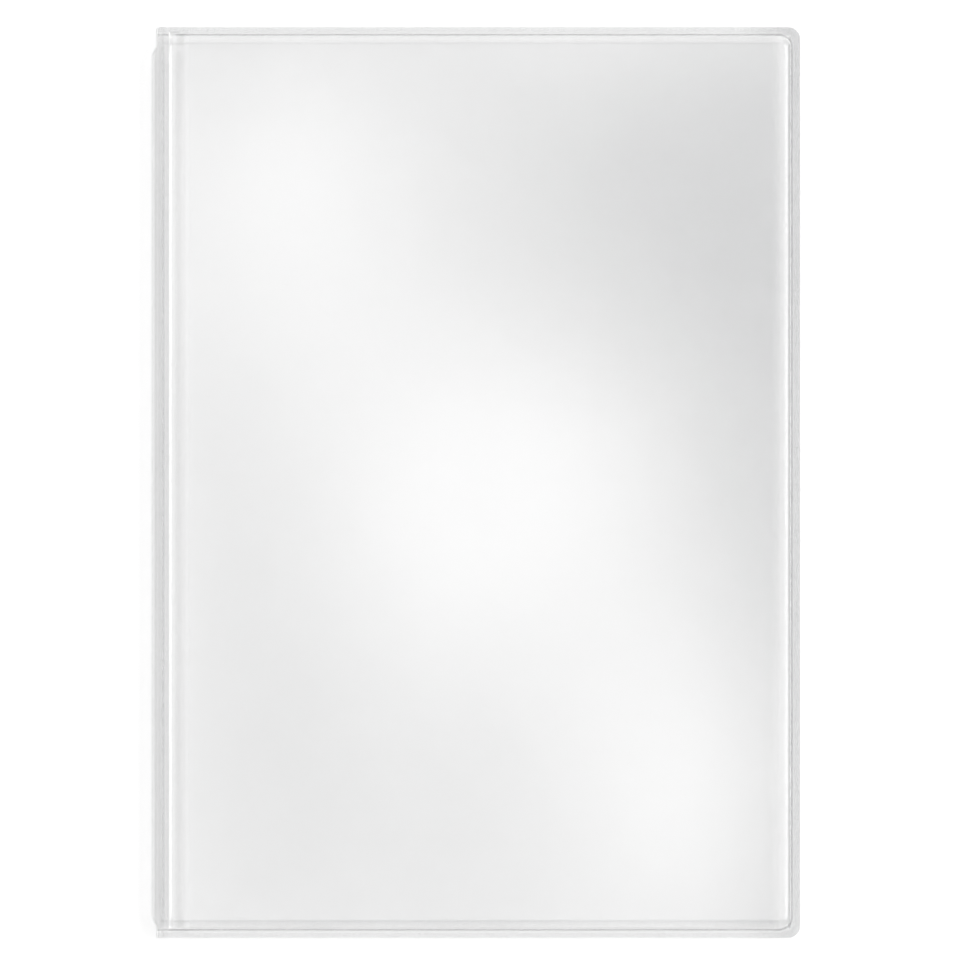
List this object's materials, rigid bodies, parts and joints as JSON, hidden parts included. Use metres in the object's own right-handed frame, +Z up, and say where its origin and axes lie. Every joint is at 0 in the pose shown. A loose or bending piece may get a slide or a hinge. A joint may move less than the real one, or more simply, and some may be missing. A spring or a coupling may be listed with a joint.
{
  "type": "exercise book cover",
  "caption": "Clear plastic film cover for an A5 exercise book, with a rounded spine, fold grooves, raised panels inside a welded border and a pocket in each cover.",
  "frame": {"origin": "under the middle of the closed cover, on the surface that it lies on", "axes": "+X to the fore edge, +Y to the head, +Z up out of the front cover; the spine is at -X"},
  "size_m": [0.155, 0.218, 0.008],
  "materials": {
    "jacket_film": "clear, smooth and slightly wavy",
    "pocket_film": "clear and smooth",
    "welded_film": "clear, with a pressed weld line"
  },
  "bodies": {
    "back_cover": {"back_panel": "jacket_film", "back_pocket": "pocket_film", "back_border": "welded_film"},
    "spine": {"spine_film": "jacket_film", "spine_border_head": "welded_film", "spine_border_tail": "welded_film"},
    "front_cover": {"front_panel": "jacket_film", "front_pocket": "pocket_film", "front_border": "welded_film"}
  },
  "joints": [
    {"name": "spine_fold", "type": "hinge", "parent": "back_cover", "child": "spine", "pos_m": [-0.0735, 0, 0], "axis": [0, -1, 0], "range_deg": [0, 90]},
    {"name": "front_cover_fold", "type": "hinge", "parent": "spine", "child": "front_cover", "pos_m": [-0.0735, 0, 0.008], "axis": [0, -1, 0], "range_deg": [0, 90]}
  ]
}
